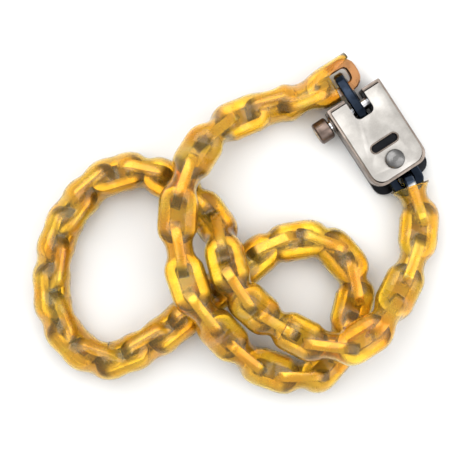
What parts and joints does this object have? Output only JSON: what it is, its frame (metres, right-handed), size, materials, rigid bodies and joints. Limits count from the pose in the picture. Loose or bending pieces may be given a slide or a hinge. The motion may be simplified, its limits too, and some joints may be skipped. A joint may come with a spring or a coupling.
{
  "type": "sleeved security chain with plate padlock",
  "caption": "Square-link security chain in a tight amber plastic sleeve, both ends locked in a flat riveted plate padlock with a sliding bolt and knob-shaped key cylinder.",
  "frame": {"origin": "centre of the padlock body on the outer face of its back plate, the face it lies on", "axes": "+Y from the rivet of the chain's fixed end towards the notch of its free end, +Z out of the front cover, the key cylinder's knob points to -X"},
  "size_m": [0.2997, 0.229, 0.0614],
  "materials": {
    "back_plate": "blackened, dull",
    "bolt_collar": "bronze-grey plated, satin",
    "bolt_guide": "machined",
    "bolt_keeper": "machined",
    "case_rivet_1": "plain",
    "case_rivet_2": "plain",
    "case_rivet_3": "plain",
    "case_rivet_4": "plain",
    "case_shell": "bronze-grey plated, satin",
    "centre_block": "hardened, dull",
    "chain_rivet": "mirror polished dome",
    "chain_sleeve": "translucent amber sleeve shrunk on the links",
    "cylinder_barrel": "bronze-grey, satin, turned",
    "end_link_fixed": "dark mirror plated",
    "end_link_free": "dark mirror plated",
    "front_cover": "warm nickel plated, fine grain",
    "inner_plate": "bronze-grey plated, satin",
    "key_plug": "machined",
    "locking_bolt": "polished",
    "locking_pin": "machined",
    "plug_clip": "spring steel",
    "rivet_bush": "machined",
    "second_link_fixed": "dark mirror plated",
    "second_link_free": "dark mirror plated",
    "stop_screw": "blackened",
    "wafer_1": "stamped",
    "wafer_2": "stamped",
    "wafer_3": "stamped",
    "wafer_4": "stamped"
  },
  "bodies": {
    "case": {"back_plate": "back_plate", "bolt_collar": "bolt_collar", "bolt_guide": "bolt_guide", "bolt_keeper": "bolt_keeper", "case_rivet_1": "case_rivet_1", "case_rivet_2": "case_rivet_2", "case_rivet_3": "case_rivet_3", "case_rivet_4": "case_rivet_4", "case_shell": "case_shell", "centre_block": "centre_block", "chain_rivet": "chain_rivet", "chain_sleeve": "chain_sleeve", "end_link_fixed": "end_link_fixed", "end_link_free": "end_link_free", "front_cover": "front_cover", "inner_plate": "inner_plate", "rivet_bush": "rivet_bush", "second_link_fixed": "second_link_fixed", "second_link_free": "second_link_free", "stop_screw": "stop_screw"},
    "bolt": {"locking_bolt": "locking_bolt", "cylinder_barrel": "cylinder_barrel"},
    "plug": {"key_plug": "key_plug", "plug_clip": "plug_clip"},
    "pin": {"locking_pin": "locking_pin"},
    "wafers": {"wafer_1": "wafer_1", "wafer_2": "wafer_2", "wafer_3": "wafer_3", "wafer_4": "wafer_4"}
  },
  "joints": [
    {"name": "bolt_slide", "type": "slide", "parent": "case", "child": "bolt", "axis": [-1, 0, 0], "range_m": [0, 0.0213]},
    {"name": "key_turn", "type": "hinge", "parent": "bolt", "child": "plug", "pos_m": [-0.0305, 0.024, 0.0128], "axis": [1, 0, 0], "range_deg": [0, 90]},
    {"name": "pin_lift", "type": "slide", "parent": "bolt", "child": "pin", "axis": [0, 1, 0], "range_m": [0, 0.001]},
    {"name": "wafer_lift", "type": "slide", "parent": "plug", "child": "wafers", "axis": [0, 0, 1], "range_m": [0, 0.0004], "stiffness_N_per_m": 50}
  ],
  "couplings": [
    {"joint": "pin_lift", "follows": "key_turn", "m_per_rad": 0.00063662}
  ]
}
